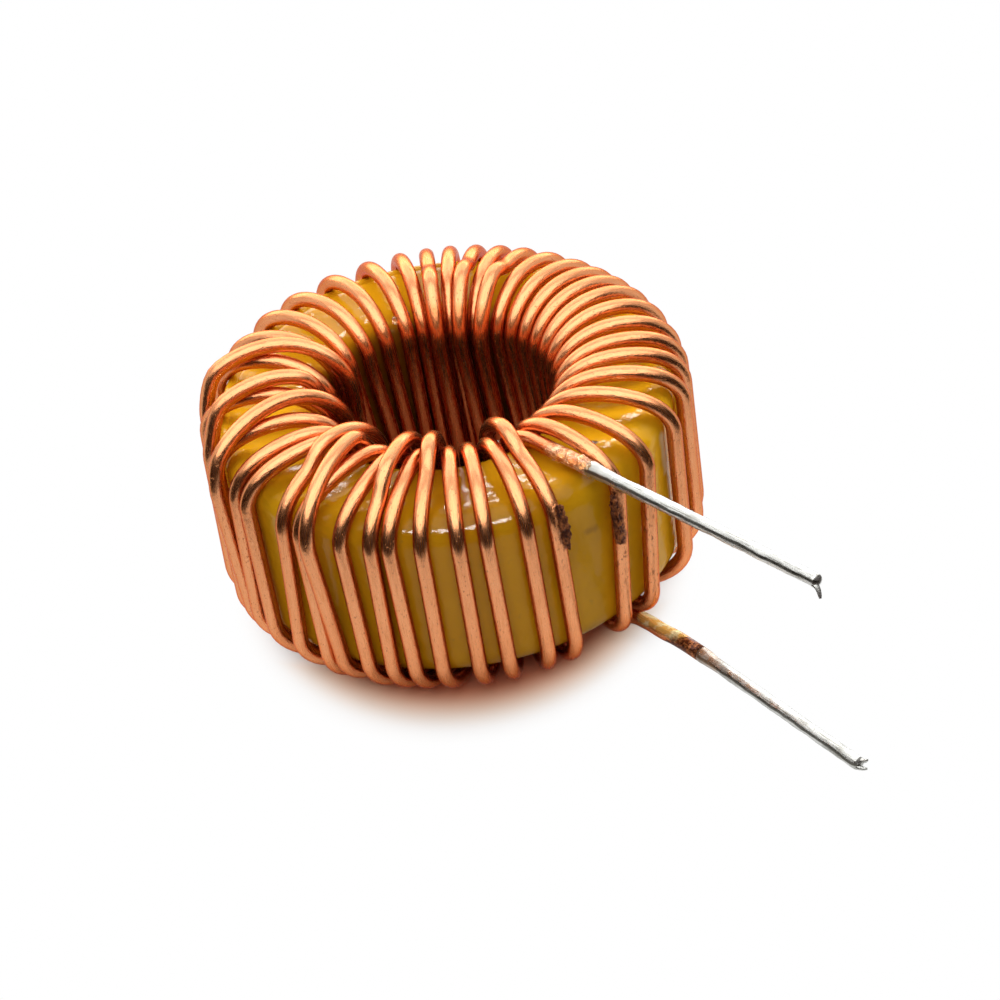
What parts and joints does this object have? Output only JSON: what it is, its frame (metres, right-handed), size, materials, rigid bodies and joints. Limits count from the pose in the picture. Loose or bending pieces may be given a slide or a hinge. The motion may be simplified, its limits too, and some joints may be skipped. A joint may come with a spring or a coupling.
{
  "type": "toroidal inductor",
  "caption": "Yellow painted ring core wound with enamelled copper wire, with two tinned wire leads leaving on one side.",
  "frame": {"origin": "on the ring's axis, at the level of the lowest wires, where the coil stands on a table", "axes": "+Z along the ring's axis, upwards; both leads leave towards -Y and a little towards +X"},
  "size_m": [0.0344, 0.0392, 0.0159],
  "materials": {
    "yellow_paint": "glossy",
    "copper_wire": "enamelled copper, glossy",
    "solder": "bright solder"
  },
  "bodies": {
    "root": {"core": "yellow_paint", "winding": "copper_wire", "upper_lead_tinning": "solder", "lower_lead_tinning": "solder"}
  },
  "joints": []
}
